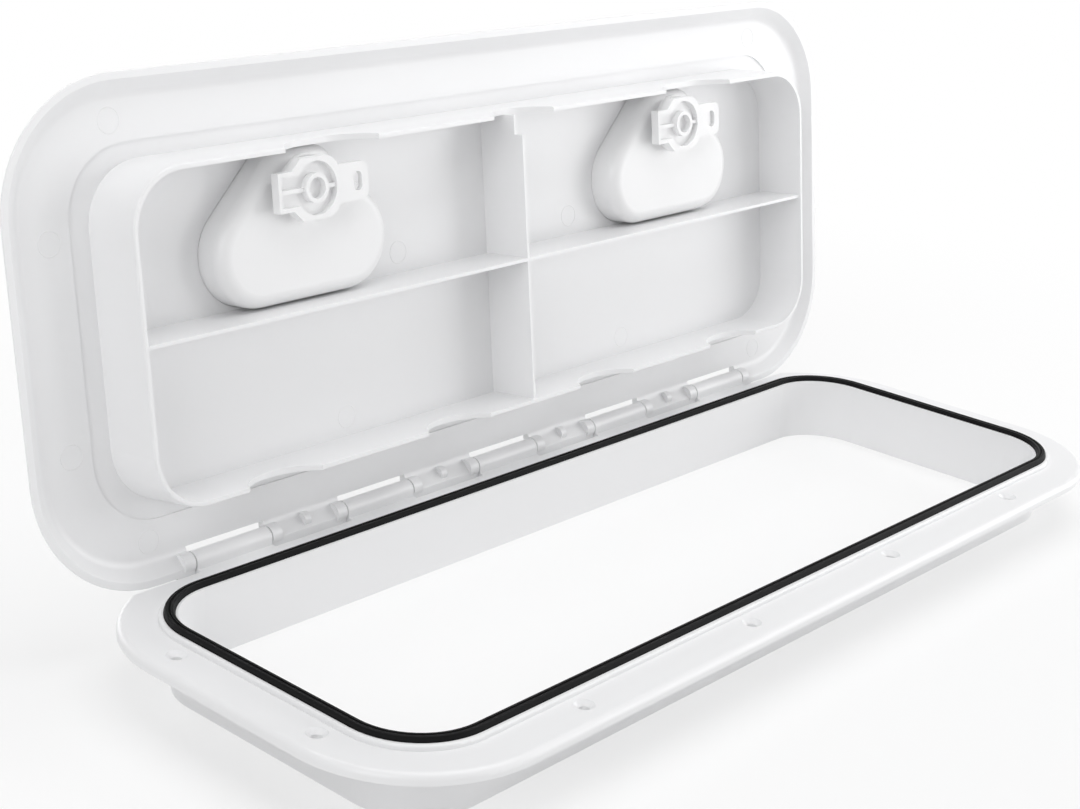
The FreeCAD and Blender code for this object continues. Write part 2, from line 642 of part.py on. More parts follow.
scallop_cut = "sizes.ring_draft + sizes.ring_wall + 2 * sizes.overcut"
for i, step in enumerate((-1.5, -0.5, 0.5, 1.5)):
    name = "hinge_scallop_%d" % (i + 1)
    centre = both(at("scallop_pitch", 0, step), at("scallop_flat", 0, -0.5))
    outline = scallop(name, centre, at("scallop_flat"), True)
    pocket(lid, name, outline, scallop_cut, True)
for name, side in (("latch_scallop_left", -1), ("latch_scallop_right", 1)):
    outline = scallop(name, at("latch_spacing", 0, side / 2), at("latch_scallop"), False)
    pocket(lid, name, outline, scallop_cut)
outline = scallop("front_scallop", at("scallop_flat", 0, -0.5), at("scallop_flat"), False)
pocket(lid, "front_scallop", outline, scallop_cut)

zero = (0.0, "0")


def rib_profile(sketch):
    """Rib that thins to its edge, centred on the sketch's vertical axis."""
    polygon(sketch, "rib", [
        (at("rib_thickness", 0, -0.5), at("lid_root")), (at("rib_thickness", 0, 0.5), at("lid_root")),
        (at("rib_edge", 0, 0.5), at("rib_foot")), (at("rib_edge", 0, -0.5), at("rib_foot")),
    ])


long_rib = new_sketch(lid, "long_rib_profile", "YZ_Plane", "-sizes.ring_length / 2 + sizes.ring_wall")
rib_profile(long_rib)
pad(lid, "long_rib", long_rib, "sizes.ring_length - 2 * sizes.ring_wall")
cross_rib = new_sketch(lid, "cross_rib_profile", "XZ_Plane", "-sizes.ring_width / 2 + sizes.ring_wall")
rib_profile(cross_rib)
pad(lid, "cross_rib", cross_rib, "sizes.ring_width - 2 * sizes.ring_wall - sizes.ring_draft")
step_sketch = new_sketch(lid, "cross_rib_step", "YZ_Plane", "-sizes.rib_thickness / 2 - sizes.overcut")
step_front = at("ring_width", 0, -0.5)
step_back = both(step_front, at("scallop_depth"))
step_low = both(at("ring_foot"), at("overcut"), -1)
polygon(step_sketch, "step", [
    (step_front, step_low), (step_back, step_low),
    (step_back, at("scallop_step")), (step_front, at("scallop_step")),
])
pocket(lid, "cross_rib_end", step_sketch, "sizes.rib_thickness + 2 * sizes.overcut", True)

slot_sketch = new_sketch(lid, "hinge_slot_outline", "XY_Plane", "sizes.lid_top")
slot_left = both(at("hinge_pitch", 0, -2.0), at("hinge_slot", 0, 0.5), -1)
slot_right = both(at("hinge_pitch", 0, -2.0), at("hinge_slot", 0, 0.5))
slot_back = both(at("lid_back"), at("overcut"))
polygon(slot_sketch, "slot", [
    (slot_left, at("slot_front")), (slot_right, at("slot_front")), (slot_right, slot_back), (slot_left, slot_back),
])
slot = pocket(lid, "hinge_slot_1", slot_sketch, "sizes.lid_top - sizes.skirt_foot + sizes.overcut")
repeat(lid, "hinge_slots", [slot], 5, "sizes.hinge_pitch")


def nub(name, start, thickness, radius, y, z):
    """Upright D-shaped piece under the lid's panel, with its round end towards the deck."""
    sketch = new_sketch(lid, name + "_profile", "YZ_Plane", start)
    r = num(radius)
    mid = num(y)
    low = num(z)
    top = num("ear_root")
    vec = FreeCAD.Vector
    arc = Part.ArcOfCircle(Part.Circle(vec(mid, low, 0), vec(0, 0, 1), r), math.pi, 2 * math.pi)
    around = sketch.addGeometry(arc, False)
    right = sketch.addGeometry(Part.LineSegment(vec(mid + r, low, 0), vec(mid + r, top, 0)), False)
    over = sketch.addGeometry(Part.LineSegment(vec(mid + r, top, 0), vec(mid - r, top, 0)), False)
    left = sketch.addGeometry(Part.LineSegment(vec(mid - r, top, 0), vec(mid - r, low, 0)), False)
    sketch.addConstraint(Sketcher.Constraint("Tangent", around, 2, right, 1))
    sketch.addConstraint(Sketcher.Constraint("Coincident", right, 2, over, 1))
    sketch.addConstraint(Sketcher.Constraint("Coincident", over, 2, left, 1))
    sketch.addConstraint(Sketcher.Constraint("Tangent", left, 2, around, 1))
    sketch.addConstraint(Sketcher.Constraint("Vertical", right))
    sketch.addConstraint(Sketcher.Constraint("Horizontal", over))
    bind(sketch, Sketcher.Constraint("Radius", around, r), "round", ref(radius))
    bind(sketch, Sketcher.Constraint("DistanceX", -1, 1, around, 3, mid), "centre_y", ref(y))
    bind(sketch, Sketcher.Constraint("DistanceY", -1, 1, around, 3, low), "centre_z", ref(z))
    bind(sketch, Sketcher.Constraint("DistanceY", -1, 1, over, 1, top), "top", ref("ear_root"))
    return pad(lid, name, sketch, thickness)


first_hinge = "-2 * sizes.hinge_pitch"
ear_starts = (
    ("hinge_ear_left", first_hinge + " - sizes.hinge_slot / 2 - sizes.ear_thickness"),
    ("hinge_ear_right", first_hinge + " + sizes.hinge_slot / 2"),
)
ears = [nub(n, s, "sizes.ear_thickness", "ear_radius", "hinge_axis", "hinge_height") for n, s in ear_starts]
repeat(lid, "hinge_ears", ears, 5, "sizes.hinge_pitch")
ear_hole_start = first_hinge + " - sizes.hinge_slot / 2 - sizes.ear_hole"
ear_hole_sketch = new_sketch(lid, "ear_hole_profile", "YZ_Plane", ear_hole_start)
ear_hole_radius = both(at("pin_radius"), at("pin_play"))
circle_at(ear_hole_sketch, "hole", ear_hole_radius, at("hinge_axis"), at("hinge_height"))
ear_hole = pocket(lid, "ear_hole", ear_hole_sketch, "sizes.hinge_slot + 2 * sizes.ear_hole", True)
repeat(lid, "ear_holes", [ear_hole], 5, "sizes.hinge_pitch")

gusset_start = "-1.5 * sizes.hinge_pitch - sizes.gusset_thickness / 2"
gusset_width = "sizes.gusset_thickness"
gusset = nub("gusset", gusset_start, gusset_width, "gusset_radius", "gusset_centre", "gusset_height")
repeat(lid, "gussets", [gusset], 4, "sizes.hinge_pitch")


def fan_loop(sketch, tag, grow, x, y):
    """Outline of a cup: two front corners, two larger back ones and the lines touching them, grown by a pair."""
    front_r = num("cup_shoulder") + grow[0]
    back_r = num("cup_corner") + grow[0]
    front_x = num("cup_shoulder_spread") / 2
    back_x = num("cup_spread") / 2
    front_y = y[0] + num("cup_shoulder_back")
    back_y = y[0] + num("cup_reach")
    across = back_x - front_x
    along = back_y - front_y
    turn = math.atan2(along, across) - math.acos((front_r - back_r) / math.hypot(across, along))
    quarter = math.pi / 2
    vec = FreeCAD.Vector

    def corner(side, height, radius, start, end):
        circle = Part.Circle(vec(x[0] + side, height, 0), vec(0, 0, 1), radius)
        return Part.ArcOfCircle(circle, start, end)

    arcs = [
        corner(front_x, front_y, front_r, -quarter, turn),
        corner(back_x, back_y, back_r, turn, quarter),
        corner(-back_x, back_y, back_r, quarter, math.pi - turn),
        corner(-front_x, front_y, front_r, math.pi - turn, 3 * quarter),
    ]
    lines = [Part.LineSegment(arcs[i].EndPoint, arcs[(i + 1) % 4].StartPoint) for i in range(4)]
    arc_ids = [sketch.addGeometry(arc, False) for arc in arcs]
    line_ids = [sketch.addGeometry(line, False) for line in lines]
    for i in range(4):
        sketch.addConstraint(Sketcher.Constraint("Tangent", arc_ids[i], 2, line_ids[i], 1))
        sketch.addConstraint(Sketcher.Constraint("Tangent", line_ids[i], 2, arc_ids[(i + 1) % 4], 1))
    corners = (
        ("cup_shoulder", "cup_shoulder_spread", 0.5, "cup_shoulder_back"),
        ("cup_corner", "cup_spread", 0.5, "cup_reach"),
        ("cup_corner", "cup_spread", -0.5, "cup_reach"),
        ("cup_shoulder", "cup_shoulder_spread", -0.5, "cup_shoulder_back"),
    )
    for i, (radius, spread, side, reach) in enumerate(corners):
        name = "%s_%d" % (tag, i)
        r = both(at(radius), grow)
        place = both(x, at(spread, 0, side))
        behind = both(y, at(reach))
        bind(sketch, Sketcher.Constraint("Radius", arc_ids[i], r[0]), name + "_r", r[1])
        arc = arc_ids[i]
        bind(sketch, Sketcher.Constraint("DistanceX", -1, 1, arc, 3, place[0]), name + "_x", place[1])
        bind(sketch, Sketcher.Constraint("DistanceY", -1, 1, arc, 3, behind[0]), name + "_y", behind[1])


latch_sides = (("left", at("latch_spacing", 0, -0.5)), ("right", at("latch_spacing", 0, 0.5)))
for word, place in latch_sides:
    seat_sketch = new_sketch(lid, "cup_seat_" + word + "_outline", "XY_Plane", "sizes.lid_top")
    fan_loop(seat_sketch, "seat", both(at("cup_flange"), at("cup_play")), place, at("-latch_front"))
    pocket(lid, "cup_seat_" + word, seat_sketch, "sizes.cup_flange_depth")
    hole_outline = new_sketch(lid, "cup_hole_" + word + "_outline", "XY_Plane", "sizes.lid_top")
    fan_loop(hole_outline, "hole", at("cup_play"), place, at("-latch_front"))
    pocket(lid, "cup_hole_" + word, hole_outline, "sizes.lid_panel + sizes.overcut")
place_on_lid(lid)

# Hinge pins
for i in range(5):
    pin = new_body("hinge_pin_%d" % (i + 1))
    ear_out = "sizes.hinge_slot / 2 + sizes.ear_hole - sizes.pin_short"
    start = "%d * sizes.hinge_pitch - (%s)" % (i - 2, ear_out)
    pin_sketch = new_sketch(pin, "pin_%d_profile" % (i + 1), "YZ_Plane", start)
    circle_at(pin_sketch, "pin", at("pin_radius"), at("hinge_axis"), at("hinge_height"))
    pad(pin, "pin_%d" % (i + 1), pin_sketch, "2 * (%s)" % ear_out)


def latch_cup(word, x):
    """Recess that the lever lies in, dropped into the lid from above, with the bearing for the shaft."""
    body = new_body("latch_cup_" + word)
    rim = new_sketch(body, "cup_rim_%s_outline" % word, "XY_Plane", "sizes.lid_top - sizes.cup_flange_depth")
    fan_loop(rim, "rim", at("cup_flange"), zero, zero)
    pad(body, "cup_rim_" + word, rim, "sizes.cup_flange_depth")
    shell = new_sketch(body, "cup_shell_%s_outline" % word, "XY_Plane", "sizes.lid_top")
    fan_loop(shell, "shell", zero, zero, zero)
    pad(body, "cup_shell_" + word, shell, "sizes.lid_top - sizes.cup_face", True)
    fillet(body, "cup_rounding_" + word, "cup_round", lambda e: level(e, num("cup_face")))
    turret = new_sketch(body, "cup_turret_%s_outline" % word, "XY_Plane", "sizes.cup_floor")
    circle_at(turret, "turret", at("turret_radius"), zero, zero)
    pad(body, "cup_turret_" + word, turret, "sizes.cup_floor - sizes.turret_face", True)
    inside = new_sketch(body, "cup_inside_%s_outline" % word, "XY_Plane", "sizes.lid_top")
    fan_loop(inside, "inside", at("-cup_wall"), zero, zero)
    pocket(body, "cup_inside_" + word, inside, "sizes.lid_top - sizes.cup_floor")
    fillet(body, "cup_floor_rounding_" + word, "cup_floor_round", lambda e: level(e, num("cup_floor")))
    bearing = new_sketch(body, "cup_bearing_%s_outline" % word, "XY_Plane", "sizes.lid_top")
    circle_at(bearing, "bearing", both(at("shaft_radius"), at("shaft_play")), zero, zero)
    pocket(body, "cup_bearing_" + word, bearing)
    place_on_lid(body, x, "-sizes.latch_front * 1 mm")
    return body


def latch_lever(word, x):
    """Lever that lies in the cup: hub, arm with a round end, and the shaft through the bearing."""
    body = new_body("latch_lever_" + word)
    hub = new_sketch(body, "lever_hub_%s_outline" % word, "XY_Plane", "sizes.lever_top")
    circle_at(hub, "hub", at("lever_hub"), zero, zero)
    pad(body, "lever_hub_" + word, hub, "sizes.lever_top - sizes.lever_hub_foot", True)
    arm_outline = new_sketch(body, "lever_arm_%s_outline" % word, "XY_Plane", "sizes.lever_top")
    lever_loop(arm_outline)
    pad(body, "lever_arm_" + word, arm_outline, "sizes.lever_thickness", True)
    fillet(body, "lever_rounding_" + word, "lever_round", lambda e: level(e, num("lever_top")))
    shaft = new_sketch(body, "lever_shaft_%s_outline" % word, "XY_Plane", "sizes.lever_hub_foot")
    circle_at(shaft, "shaft", at("shaft_radius"), zero, zero)
    pad(body, "lever_shaft_" + word, shaft, "sizes.lever_hub_foot - sizes.cam_base", True)
    place_on_lid(body, x, "-sizes.latch_front * 1 mm")
    return body


def lever_loop(sketch):
    """Arm that narrows from the hub to its round end, pointing half way between -X and +Y."""
    hub = num("lever_hub")
    end = num("lever_end")
    reach = num("lever_reach")
    aim = 3 * math.pi / 4
    lean = math.acos((hub - end) / reach)
    vec = FreeCAD.Vector
    up = vec(0, 0, 1)
    far = vec(reach * math.cos(aim), reach * math.sin(aim), 0)
    near = []
    tips = []
    for sign in (-1, 1):
        out = vec(math.cos(aim + sign * lean), math.sin(aim + sign * lean), 0)
        near.append(out * hub)
        tips.append(far + out * end)
    hub_arc = sketch.addGeometry(
        Part.ArcOfCircle(Part.Circle(vec(0, 0, 0), up, hub), aim + lean, aim - lean + 2 * math.pi), False)
    one = sketch.addGeometry(Part.LineSegment(near[0], tips[0]), False)
    end_arc = sketch.addGeometry(
        Part.ArcOfCircle(Part.Circle(far, up, end), aim - lean, aim + lean), False)
    two = sketch.addGeometry(Part.LineSegment(tips[1], near[1]), False)
    for a, a_end, b, b_end in (
        (hub_arc, 2, one, 1), (one, 2, end_arc, 1), (end_arc, 2, two, 1), (two, 2, hub_arc, 1),
    ):
        sketch.addConstraint(Sketcher.Constraint("Tangent", a, a_end, b, b_end))
    sketch.addConstraint(Sketcher.Constraint("Coincident", hub_arc, 3, -1, 1))
    bind(sketch, Sketcher.Constraint("Radius", hub_arc, hub), "hub", ref("lever_hub"))
    bind(sketch, Sketcher.Constraint("Radius", end_arc, end), "round_end", ref("lever_end"))
    out = "sizes.lever_reach / sqrt(2)"
    bind(sketch, Sketcher.Constraint("DistanceX", -1, 1, end_arc, 3, far.x), "end_x", "-" + out)
    bind(sketch, Sketcher.Constraint("DistanceY", -1, 1, end_arc, 3, far.y), "end_y", out)


def upright(edge, side, low):
    """Straight upright edge at least as long as a named height and at or beyond one side along X."""
    box = edge.BoundBox
    straight = box.XLength < 1e-4 and box.YLength < 1e-4
    return straight and box.ZLength > num(low) - 1e-4 and box.XMin > side - 1e-4


def latch_cam(word, x):
    """Cam on the shaft's inner end: an open shell with a tube, two webs and the tongue that turns into the frame."""
    body = new_body("latch_cam_" + word)
    half = at("cam_half")
    flat = at("cam_flat")
    nose_tip = at("nose_reach", 0, -1.0)
    nose = at("nose_half")
    low_half = at("cam_half", 0, -1.0)
    low_flat = at("cam_flat", 0, -1.0)
    low_nose = at("nose_half", 0, -1.0)
    shell = new_sketch(body, "cam_shell_%s_outline" % word, "XY_Plane", "sizes.cam_base")
    polygon(shell, "shell", [
        (half, low_flat), (half, flat), (flat, half), (low_flat, half), (low_half, nose),
        (nose_tip, nose), (nose_tip, low_nose), (low_half, low_nose), (low_flat, low_half), (flat, low_half),
    ])
    pad(body, "cam_shell_" + word, shell, "sizes.cam_height", True)
    fillet(body, "cam_corners_" + word, "cam_round", lambda e: upright(e, 0, "cam_height"))
    hollow = new_sketch(body, "cam_hollow_%s_outline" % word, "XY_Plane", "sizes.cam_foot")
    circle_at(hollow, "hollow", both(half, at("cam_wall"), -1), zero, zero)
    pocket(body, "cam_hollow_" + word, hollow, "sizes.cam_height - sizes.cam_plate", True)
    nose_hollow = new_sketch(body, "cam_nose_%s_outline" % word, "XY_Plane", "sizes.cam_foot")
    nose_in = both(nose_tip, at("cam_wall"))
    nose_top = both(nose, at("cam_wall"), -1)
    nose_low = both(low_nose, at("cam_wall"))
    polygon(nose_hollow, "nose", [
        (nose_in, nose_low), (zero, nose_low), (zero, nose_top), (nose_in, nose_top),
    ])
    pocket(body, "cam_nose_" + word, nose_hollow, "sizes.cam_height - sizes.cam_plate", True)
    web = new_sketch(body, "cam_web_%s_outline" % word, "XY_Plane", "sizes.cam_base")
    web_half = at("cam_wall", 0, 0.5)
    web_low = at("cam_wall", 0, -0.5)
    left_end = both(nose_tip, web_half)
    right_end = both(half, web_half, -1)
    polygon(web, "web", [
        (left_end, web_low), (right_end, web_low), (right_end, web_half), (left_end, web_half),
    ])
    pad(body, "cam_web_" + word, web, "sizes.cam_height - sizes.cam_wall / 2", True)
    tube = new_sketch(body, "cam_tube_%s_outline" % word, "XY_Plane", "sizes.cam_base")
    circle_at(tube, "tube", at("tube_radius"), zero, zero)
    pad(body, "cam_tube_" + word, tube, "sizes.cam_base - sizes.tube_foot", True)
    bore = new_sketch(body, "cam_bore_%s_outline" % word, "XY_Plane", "sizes.tube_foot")
    circle_at(bore, "bore", at("tube_bore"), zero, zero)
    pocket(body, "cam_bore_" + word, bore, "sizes.cam_base - sizes.tube_foot - sizes.cam_plate", True)
    tongue = new_sketch(body, "cam_tongue_%s_outline" % word, "XY_Plane", "sizes.tongue_top")
    near = both(half, at("cam_wall"), -1)
    wide = at("tongue_width", 0, 0.5)
    slim = at("tongue_width", 0, -0.5)
    polygon(tongue, "tongue", [
        (near, slim), (at("tongue_reach"), slim), (at("tongue_reach"), wide), (near, wide),
    ])
    pad(body, "cam_tongue_" + word, tongue, "sizes.tongue_thickness", True)
    tip = num("tongue_reach")
    fillet(body, "cam_tip_" + word, "tongue_round", lambda e: upright(e, tip, "tongue_thickness"))
    hole = new_sketch(body, "cam_hole_%s_outline" % word, "XY_Plane", "sizes.tongue_top")
    oblong(hole)
    pocket(body, "cam_hole_" + word, hole, "sizes.tongue_thickness + sizes.overcut")
    place_on_lid(body, x, "-sizes.latch_front * 1 mm")
    return body


def oblong(sketch):
    """Round-ended hole across the tongue."""
    r = num("tongue_hole_width") / 2
    half = num("tongue_hole_length") / 2 - r
    x = num("tongue_hole_reach")
    vec = FreeCAD.Vector
    up = vec(0, 0, 1)
    top = sketch.addGeometry(Part.ArcOfCircle(Part.Circle(vec(x, half, 0), up, r), 0, math.pi), False)
    low = sketch.addGeometry(Part.ArcOfCircle(Part.Circle(vec(x, -half, 0), up, r), math.pi, 2 * math.pi), False)
    left = sketch.addGeometry(Part.LineSegment(vec(x - r, half, 0), vec(x - r, -half, 0)), False)
    right = sketch.addGeometry(Part.LineSegment(vec(x + r, -half, 0), vec(x + r, half, 0)), False)
    for a, a_end, b, b_end in ((top, 2, left, 1), (left, 2, low, 1), (low, 2, right, 1), (right, 2, top, 1)):
        sketch.addConstraint(Sketcher.Constraint("Tangent", a, a_end, b, b_end))
    sketch.addConstraint(Sketcher.Constraint("Vertical", left))
    sketch.addConstraint(Sketcher.Constraint("Equal", top, low))
    bind(sketch, Sketcher.Constraint("Radius", top, r), "round", "sizes.tongue_hole_width / 2")
    bind(sketch, Sketcher.Constraint("DistanceX", -1, 1, top, 3, x), "reach", "sizes.tongue_hole_reach")
    spread = "(sizes.tongue_hole_length - sizes.tongue_hole_width) / 2"
    bind(sketch, Sketcher.Constraint("DistanceY", -1, 1, top, 3, half), "upper", spread)
    bind(sketch, Sketcher.Constraint("DistanceY", low, 3, top, 3, 2 * half), "spread", "2 * " + spread)


for word, side in (("left", "-"), ("right", "")):
    where = side + "sizes.latch_spacing / 2 * 1 mm"
    latch_cup(word, where)
    latch_lever(word, where)
    latch_cam(word, where)

# Checks and export
doc.recompute()
for item in doc.Objects:
    if "Invalid" in item.State or "Error" in item.State:
        raise RuntimeError(item.Name + " did not build")
os.makedirs("parts", exist_ok=True)
for item in doc.Objects:
    if item.TypeId == "PartDesign::Body":
        shape = item.Shape
        if shape.isNull() or not shape.isValid() or len(shape.Solids) != 1:
            raise RuntimeError("%s is not one sound solid (%d)" % (item.Label, len(shape.Solids)))
        shape.exportStep("parts/%s.step" % item.Label)
        print(item.Label, "%.1f cm3" % (shape.Volume / 1000))
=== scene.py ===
# %% [markdown]
# # A white deck access hatch
# A hatch closes an opening in a boat's deck. Its frame lines the cut-out, a black rubber seal lies in the
# frame's rim, and the lid stands open on five small hinges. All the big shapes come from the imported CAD
# model, which stays as it is. This lesson gives that model its finish: plastics, rubber and steel worked
# out as shader expressions, the small marks that moulding leaves, and a plain studio with the camera at
# the photograph's place.

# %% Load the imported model
import json
import math

import bpy
import numpy as np
from mathutils import Matrix, Vector


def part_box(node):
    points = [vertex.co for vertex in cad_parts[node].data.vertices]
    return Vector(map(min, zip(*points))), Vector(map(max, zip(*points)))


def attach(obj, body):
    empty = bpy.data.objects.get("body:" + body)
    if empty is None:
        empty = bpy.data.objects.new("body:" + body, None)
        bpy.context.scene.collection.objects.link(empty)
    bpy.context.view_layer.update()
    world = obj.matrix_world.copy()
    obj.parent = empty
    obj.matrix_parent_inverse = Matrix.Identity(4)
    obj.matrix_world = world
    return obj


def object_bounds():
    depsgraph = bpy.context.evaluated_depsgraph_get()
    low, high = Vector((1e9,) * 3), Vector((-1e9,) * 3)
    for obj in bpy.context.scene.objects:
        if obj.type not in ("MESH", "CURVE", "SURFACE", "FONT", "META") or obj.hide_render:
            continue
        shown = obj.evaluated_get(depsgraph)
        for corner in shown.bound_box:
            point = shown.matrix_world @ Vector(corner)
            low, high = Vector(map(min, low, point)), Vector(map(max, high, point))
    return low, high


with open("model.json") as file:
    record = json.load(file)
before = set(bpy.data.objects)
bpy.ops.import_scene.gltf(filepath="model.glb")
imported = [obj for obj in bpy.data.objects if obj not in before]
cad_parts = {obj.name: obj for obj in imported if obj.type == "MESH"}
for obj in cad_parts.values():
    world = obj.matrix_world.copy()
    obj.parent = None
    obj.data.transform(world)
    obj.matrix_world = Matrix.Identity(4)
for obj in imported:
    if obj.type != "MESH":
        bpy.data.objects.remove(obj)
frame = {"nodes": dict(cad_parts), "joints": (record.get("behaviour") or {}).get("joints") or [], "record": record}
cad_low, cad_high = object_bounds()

print("nodes:", sorted(frame["nodes"]))
print("CAD box in mm:", [round((b - a) * 1000, 1) for a, b in zip(cad_low, cad_high)])

# %% [markdown]
# ## The camera
# The photograph was taken from the front left, from above the lid. Its place was found by fitting the
# hatch's outline to the picture, so the camera is set from that: where it stands, which way is right and
# which way is forward, and the focal length in pixels. Blender's camera looks along its own -Z, so the
# axes are turned to match.

# %% Camera at the photograph's place
IMAGE_W, IMAGE_H = 1080, 809
focal_px, centre_px = 1938.2, (533.1, 401.7)
camera_at = Vector((-0.7510, -0.5621, 0.3981))
right = Vector((0.67184, -0.73844, 0.05777)).normalized()
forward = Vector((0.71027, 0.62015, -0.33307)).normalized()
down = forward.cross(right).normalized()

camera_data = bpy.data.cameras.new("camera")
camera_data.sensor_fit = "HORIZONTAL"
camera_data.sensor_width = 36.0
camera_data.lens = focal_px / IMAGE_W * camera_data.sensor_width
camera_data.shift_x = (IMAGE_W / 2 - centre_px[0]) / IMAGE_W
camera_data.shift_y = (centre_px[1] - IMAGE_H / 2) / IMAGE_W
camera = bpy.data.objects.new("camera", camera_data)
bpy.context.scene.collection.objects.link(camera)
axes = Matrix((right, -down, -forward)).transposed()
camera.matrix_world = Matrix.Translation(camera_at) @ axes.to_4x4()
bpy.context.scene.camera = camera
print("lens mm:", round(camera_data.lens, 1))

# %% [markdown]
# ## Shader maths as Python
# A material is easier to read as an expression than as a list of nodes. This small class wraps a socket.
# Its operators add Math nodes, and its one method makes any other node from a type, some settings and
# some sockets.

# %% A socket with operators
MIX_LOW, MIX_HIGH, MIX_RESULT = 6, 7, 2  # colour sockets of a Mix node, which share their names with others


class Sock:
    """Wraps an output socket of a node tree, so that shader values can be written as expressions."""

    def __init__(self, tree, out):
        self.tree = tree
        self.out = out

    def node(self, kind, settings=None, **sockets):
        """Adds a node, sets its properties first, then its sockets by name or by number (written as _0)."""
        made = self.tree.nodes.new(kind)
        for key, value in (settings or {}).items():
            setattr(made, key, value)
        for key, value in sockets.items():
            name = int(key[1:]) if key[1:].isdigit() else key.replace("_", " ")
            put(self.tree, made.inputs[name], value)
        return made

    def math(self, operation, other=0.0):
        """Math node on this value and another."""
        made = self.node("ShaderNodeMath", {"operation": operation}, _0=self, _1=other)
        return Sock(self.tree, made.outputs[0])

    def __add__(self, other):
        return self.math("ADD", other)

    __radd__ = __add__

    def __mul__(self, other):
        return self.math("MULTIPLY", other)

    __rmul__ = __mul__

    def __sub__(self, other):
        return self.math("SUBTRACT", other)

    def __rsub__(self, other):
        return (self * -1.0) + other

    def mix(self, low, high):
        """Colour between low where this value is 0 and high where it is 1."""
        made = self.node("ShaderNodeMix", {"data_type": "RGBA"}, Factor=self)
        put(self.tree, made.inputs[MIX_LOW], low)
        put(self.tree, made.inputs[MIX_HIGH], high)
        return Sock(self.tree, made.outputs[MIX_RESULT])


def put(tree, socket, value):
    """Links a wrapped socket, or sets a plain number or colour."""
    if isinstance(value, Sock):
        tree.links.new(value.out, socket)
    elif isinstance(value, tuple) and len(value) == 3 and socket.type == "RGBA":
        socket.default_value = (*value, 1.0)
    else:
        socket.default_value = value


# %% Helpers that every finish uses


def new_material(name):
    """New material; returns it with its Principled shader and the Object coordinates."""
    material = bpy.data.materials.new(name)
    material.use_nodes = True
    tree = material.node_tree
    shader = tree.nodes["Principled BSDF"]
    place = Sock(tree, tree.nodes.new("ShaderNodeTexCoord").outputs["Object"])
    return material, shader, place


def noise(place, cells, detail):
    """Blender's noise at so many cells a metre, between 0 and 1."""
    made = place.node("ShaderNodeTexNoise", None, Vector=place, Scale=cells, Detail=detail)
    return Sock(place.tree, made.outputs["Fac"])


def stretched_noise(place, cells_xyz, detail):
    """Noise with its own number of cells a metre along X, Y and Z, so that few along X give long streaks."""
    mapped = place.node("ShaderNodeMapping", None, Vector=place, Scale=cells_xyz)
    return noise(Sock(place.tree, mapped.outputs[0]), 1.0, detail)


def bump(height, strength, distance):
    """Normal that leans as if the surface rose by distance where height is 1."""
    made = height.node("ShaderNodeBump", None, Height=height, Strength=strength, Distance=distance)
    return Sock(height.tree, made.outputs["Normal"])


# %% [markdown]
# ## The white plastic
# The frame and the lid are moulded in glossy white plastic. A single flat colour would look like a
# drawing, so the tint drifts a little over the length of the part, as it does where the melt cooled at
# different speeds. Faint flow lines run along the hatch, the way the melt filled the mould. The gloss
# changes in soft patches, and a very fine grain breaks the highlights. The latches are the same plastic
# with a little less gloss.

# %% White plastic for the mouldings and the latches
DRIFT_CELLS, PATCH_CELLS, GRAIN_CELLS = 5.0, 38.0, 2600.0
FLOW_CELLS = (3.0, 45.0, 45.0)
GLOSS_SPREAD = 0.08
GRAIN_HEIGHT = 0.00004
PLASTIC_IOR = 1.5


def plastic(name, cool, warm, rough, grain):
    """Tint halfway between drift and flow lines, roughness in patches, and a grain of the given strength."""
    material, shader, place = new_material(name)
    tree = place.tree
    drift = noise(place, DRIFT_CELLS, detail=3.0)
    flow = stretched_noise(place, FLOW_CELLS, detail=3.0)
    patch = noise(place, PATCH_CELLS, detail=4.0)
    fine = noise(place, GRAIN_CELLS, detail=2.0)
    put(tree, shader.inputs["Base Color"], (0.5 * drift + 0.5 * flow).mix(cool, warm))
    put(tree, shader.inputs["Roughness"], rough + GLOSS_SPREAD * patch)
    put(tree, shader.inputs["Normal"], bump(fine, grain, GRAIN_HEIGHT))
    shader.inputs["IOR"].default_value = PLASTIC_IOR
    return material


white = plastic("white_plastic", rough=0.285, grain=0.25,
                cool=(0.852, 0.854, 0.861), warm=(0.872, 0.873, 0.879))
latch_white = plastic("latch_plastic", rough=0.32, grain=0.35,
                      cool=(0.856, 0.857, 0.862), warm=(0.876, 0.877, 0.880))
print("plastics:", white.name, latch_white.name)

# %% [markdown]
# ## The rubber seal
# The seal is an extruded strip, so fine ridges run along it all the way round. They follow the rounded
# rectangle of the groove: the distance from the strip's middle line, worked out in the shader, gives the
# ridges their bump. Rubber mirrors little of the white studio, so its specular level is low and it stays
# near black.

# %% Distance from the middle line of the seal
SEAL_WIDTH = 0.005
SEAL_CORNER = 0.0354
seal_low, seal_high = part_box("gasket")
seal_half = [(high - low - SEAL_WIDTH) / 2 for low, high in zip(seal_low, seal_high)]


def ring_distance(place, half, corner):
    """Signed distance from a rounded rectangle.

    With q = |p| - half + corner, it is the length of max(q, 0), plus min(max(qx, qy), 0), minus corner.
    """
    split = place.node("ShaderNodeSeparateXYZ", None, Vector=place)
    qx, qy = [Sock(place.tree, split.outputs[i]).math("ABSOLUTE") - (half[i] - corner) for i in (0, 1)]
    ox, oy = qx.math("MAXIMUM", 0.0), qy.math("MAXIMUM", 0.0)
    outside = (ox * ox + oy * oy).math("SQRT")
    inside = qx.math("MAXIMUM", qy).math("MINIMUM", 0.0)
    return outside + inside - corner


print("seal line half sizes in mm:", [round(half * 1000, 1) for half in seal_half[:2]])

